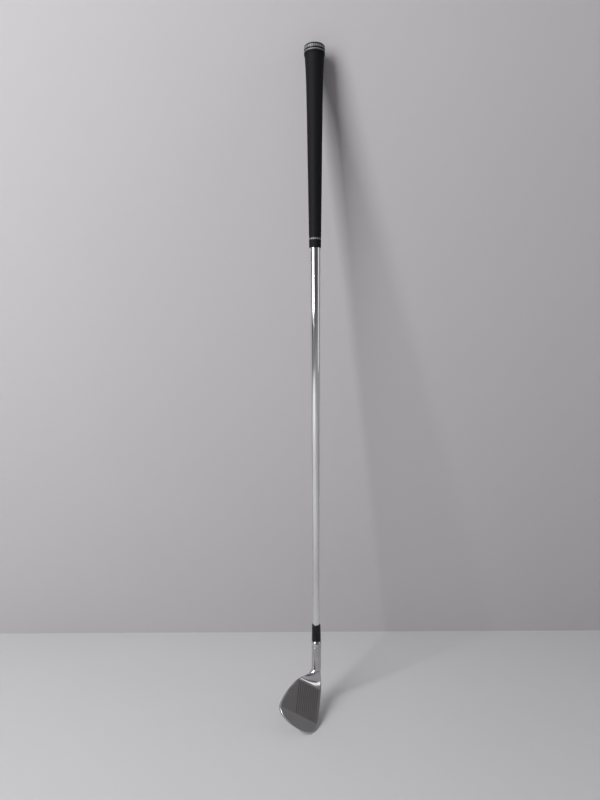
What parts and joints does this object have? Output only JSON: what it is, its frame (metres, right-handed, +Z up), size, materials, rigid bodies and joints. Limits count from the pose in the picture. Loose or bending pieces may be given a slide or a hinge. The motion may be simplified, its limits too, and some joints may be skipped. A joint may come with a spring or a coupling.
{
  "type": "golf iron",
  "caption": "Right-handed lofted golf iron with a one-piece steel head, stepped steel shaft, black ferrule and tapered rubber grip.",
  "frame": {"origin": "centre of the grip's butt end, at the mouth of the vent hole on the shaft axis", "axes": "+Z up the shaft axis from head to butt, +X the way the face looks, toe towards -Y and heel towards +Y"},
  "size_m": [0.0591, 0.0922, 0.9225],
  "materials": {
    "head_steel": "satin chrome with a blasted face",
    "shaft_chrome": "polished chrome",
    "ferrule_plastic": "glossy black",
    "grip_rubber": "matte textured",
    "inlay_grey": "silver-grey paint fill",
    "tape": "masking paper",
    "epoxy": "cured adhesive",
    "brass_plug": "turned"
  },
  "bodies": {
    "root": {"clubhead": "head_steel", "shaft": "shaft_chrome", "ferrule": "ferrule_plastic", "grip_sleeve": "grip_rubber", "grip_cap": "grip_rubber", "cap_band": "inlay_grey", "cap_line": "inlay_grey", "mouth_band": "inlay_grey", "grip_tape": "tape", "hosel_epoxy": "epoxy", "tip_weight": "brass_plug"}
  },
  "joints": []
}
